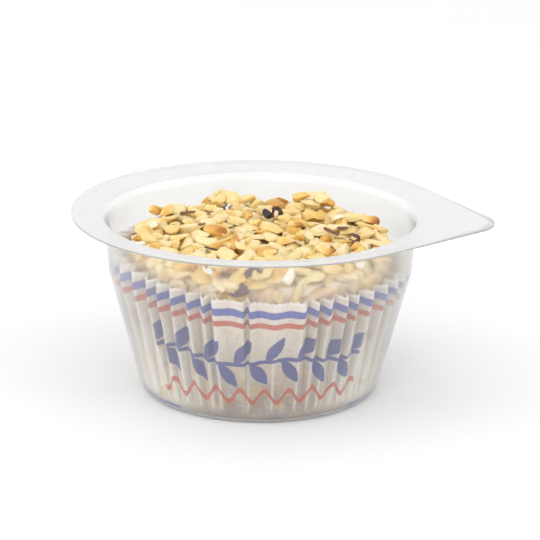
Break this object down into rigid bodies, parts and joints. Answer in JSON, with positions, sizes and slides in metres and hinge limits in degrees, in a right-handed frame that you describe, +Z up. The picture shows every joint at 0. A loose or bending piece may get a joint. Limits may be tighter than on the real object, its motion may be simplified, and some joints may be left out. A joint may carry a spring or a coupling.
{
  "type": "hazelnut-coated goat cheese",
  "caption": "Small round fresh cheese coated with chopped nuts, in a pleated paper case inside a clear round tub with a pull tab.",
  "frame": {"origin": "on the tub's axis, at the underside of its base", "axes": "+Z up, out of the tub's mouth; +X towards the pull tab"},
  "size_m": [0.1063, 0.095, 0.046],
  "materials": {
    "nut_coat": "rough chopped nuts, pale ivory with toasted bits, on white curd",
    "case_paper": "thin greaseproof paper with a blue and a red stripe",
    "clear_tub": "clear, slightly milky thermoformed plastic"
  },
  "bodies": {
    "root": {"cheese": "nut_coat", "paper_case": "case_paper", "cup": "clear_tub"}
  },
  "joints": []
}
